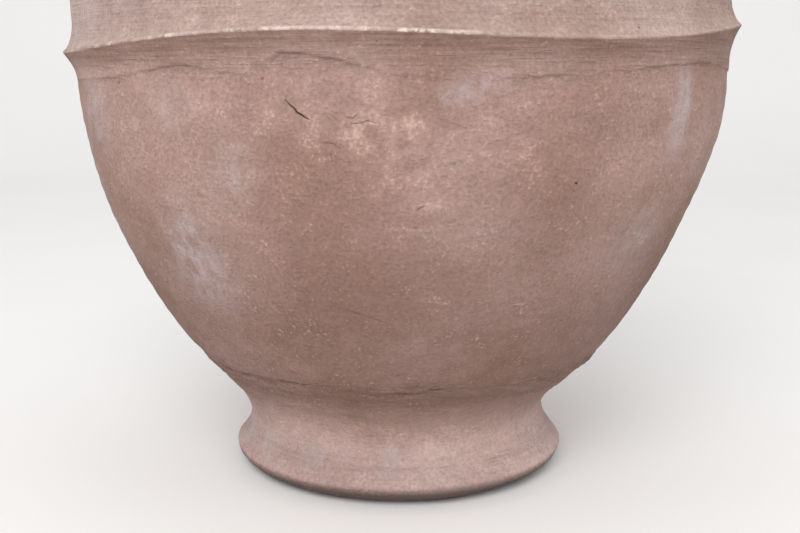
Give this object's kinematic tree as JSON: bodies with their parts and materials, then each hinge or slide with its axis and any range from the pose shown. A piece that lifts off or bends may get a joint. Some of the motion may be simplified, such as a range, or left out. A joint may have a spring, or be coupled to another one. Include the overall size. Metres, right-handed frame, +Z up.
{
  "type": "amphora",
  "caption": "Large unglazed terracotta amphora with a flared ring foot, ovoid body, sharp belly cordon, short neck, rolled lip and strap handles.",
  "frame": {"origin": "centre of the foot's ring on the ground", "axes": "+Z up through the mouth, +X towards handle_right, the handles in the XZ plane"},
  "size_m": [0.687, 0.687, 0.908],
  "materials": {
    "foot_clay": "unglazed terracotta, wiped smooth, dusty pink",
    "bowl_clay": "unglazed terracotta, weathered grey-brown with pale bloom",
    "coil_clay": "unglazed terracotta, wiped, chalky on the edges",
    "upper_clay": "unglazed terracotta, pale dusty pink",
    "handle_clay": "unglazed terracotta, pulled strap"
  },
  "bodies": {
    "root": {"pedestal_foot": "foot_clay", "foot_joint_coil": "foot_clay", "lower_bowl": "bowl_clay", "belly_cordon": "coil_clay", "inner_seam_coil": "bowl_clay", "upper_body": "upper_clay", "neck": "upper_clay", "neck_cordon": "coil_clay", "lip": "coil_clay", "handle_left": "handle_clay", "handle_right": "handle_clay"}
  },
  "joints": []
}
